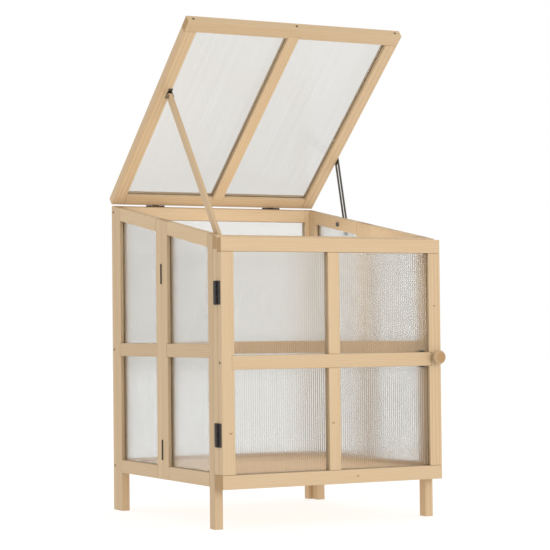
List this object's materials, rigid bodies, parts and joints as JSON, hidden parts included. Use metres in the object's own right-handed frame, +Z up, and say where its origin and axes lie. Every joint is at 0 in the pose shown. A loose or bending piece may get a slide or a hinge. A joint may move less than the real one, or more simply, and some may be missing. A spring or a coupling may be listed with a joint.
{
  "type": "cold frame",
  "caption": "Folding wooden cold frame with clear twin-wall panes, a full-width front door with a turned knob, a sloping lid on a slotted stay, a prop stick and short legs.",
  "frame": {"origin": "on the ground, under the middle of the bounding box of the whole object with its door shut and its lid open as stored", "axes": "+Z up, -Y the front with the door, +X to the right as seen from the front, where the slotted stay is"},
  "size_m": [0.6088, 0.6714, 1.1846],
  "materials": {
    "planed_fir": "planed, clear satin varnish, eased edges",
    "prop_wood": "planed, clear satin varnish",
    "turned_knob": "turned and varnished",
    "plywood_floor": "thin board, matt",
    "twin_wall_sheet": "clear twin-wall sheet with upright flutes",
    "black_hinge": "black, satin",
    "steel_stay": "dark passivated, brushed along its length",
    "zinc_plated_steel": "bright zinc",
    "black_plastic": "moulded, matt"
  },
  "bodies": {
    "root": {"floor_board": "plywood_floor", "front_frame": "planed_fir", "rear_left_stile": "planed_fir", "rear_right_stile": "planed_fir", "rear_top_rail": "planed_fir", "rear_mid_rail": "planed_fir", "rear_bottom_rail": "planed_fir", "rear_pane": "twin_wall_sheet", "left_front_near_stile": "planed_fir", "left_front_far_stile": "planed_fir", "left_front_bottom_rail": "planed_fir", "left_front_mid_rail": "planed_fir", "left_front_top_rail": "planed_fir", "left_front_pane": "twin_wall_sheet", "left_rear_near_stile": "planed_fir", "left_rear_far_stile": "planed_fir", "left_rear_bottom_rail": "planed_fir", "left_rear_mid_rail": "planed_fir", "left_rear_top_rail": "planed_fir", "left_rear_pane": "twin_wall_sheet", "right_front_near_stile": "planed_fir", "right_front_far_stile": "planed_fir", "right_front_bottom_rail": "planed_fir", "right_front_mid_rail": "planed_fir", "right_front_top_rail": "planed_fir", "right_front_pane": "twin_wall_sheet", "right_rear_near_stile": "planed_fir", "right_rear_far_stile": "planed_fir", "right_rear_bottom_rail": "planed_fir", "right_rear_mid_rail": "planed_fir", "right_rear_top_rail": "planed_fir", "right_rear_pane": "twin_wall_sheet", "stay_bolt": "zinc_plated_steel", "door_lower_hinge_frame_leaf": "black_hinge", "door_upper_hinge_frame_leaf": "black_hinge", "lid_left_hinge_frame_leaf": "black_hinge", "lid_right_hinge_frame_leaf": "black_hinge"},
    "lid": {"lid_front_rail": "planed_fir", "lid_rear_rail": "planed_fir", "lid_left_rail": "planed_fir", "lid_right_rail": "planed_fir", "lid_mullion": "planed_fir", "lid_pane": "twin_wall_sheet", "lid_left_hinge_leaf": "black_hinge", "lid_right_hinge_leaf": "black_hinge", "stay_pivot_screw": "zinc_plated_steel", "prop_bracket": "zinc_plated_steel"},
    "stay": {"stay": "steel_stay"},
    "prop": {"prop": "prop_wood"},
    "door": {"door_bottom_rail": "planed_fir", "door_top_rail": "planed_fir", "door_left_stile": "planed_fir", "door_right_stile": "planed_fir", "door_cross": "planed_fir", "door_left_pane": "twin_wall_sheet", "door_right_pane": "twin_wall_sheet", "door_knob": "turned_knob", "door_lower_hinge_leaf": "black_hinge", "door_upper_hinge_leaf": "black_hinge"},
    "wing_nut": {"wing_nut": "black_plastic"}
  },
  "joints": [
    {"name": "lid_hinge", "type": "hinge", "parent": "root", "child": "lid", "pos_m": [-0.0081, 0.32486, 0.7686], "axis": [-1, 0, 0], "range_deg": [-49.9, 6]},
    {"name": "stay_pivot", "type": "hinge", "parent": "lid", "child": "stay", "pos_m": [0.2841, 0.19021, 0.89692], "axis": [-1, 0, 0], "range_deg": [-3, 24.95]},
    {"name": "prop_pivot", "type": "hinge", "parent": "lid", "child": "prop", "pos_m": [-0.2711, 0.0177, 1.01245], "axis": [1, 0, 0], "range_deg": [0, 34]},
    {"name": "door_hinge", "type": "hinge", "parent": "root", "child": "door", "pos_m": [-0.3014, -0.28695, 0.3745], "axis": [0, 0, -1], "range_deg": [0, 170]},
    {"name": "wing_nut_turn", "type": "hinge", "parent": "root", "child": "wing_nut", "pos_m": [0.2896, 0.14519, 0.72046], "axis": [1, 0, 0], "continuous": true}
  ],
  "couplings": [
    {"joint": "stay_pivot", "follows": "lid_hinge", "ratio": -0.5}
  ]
}
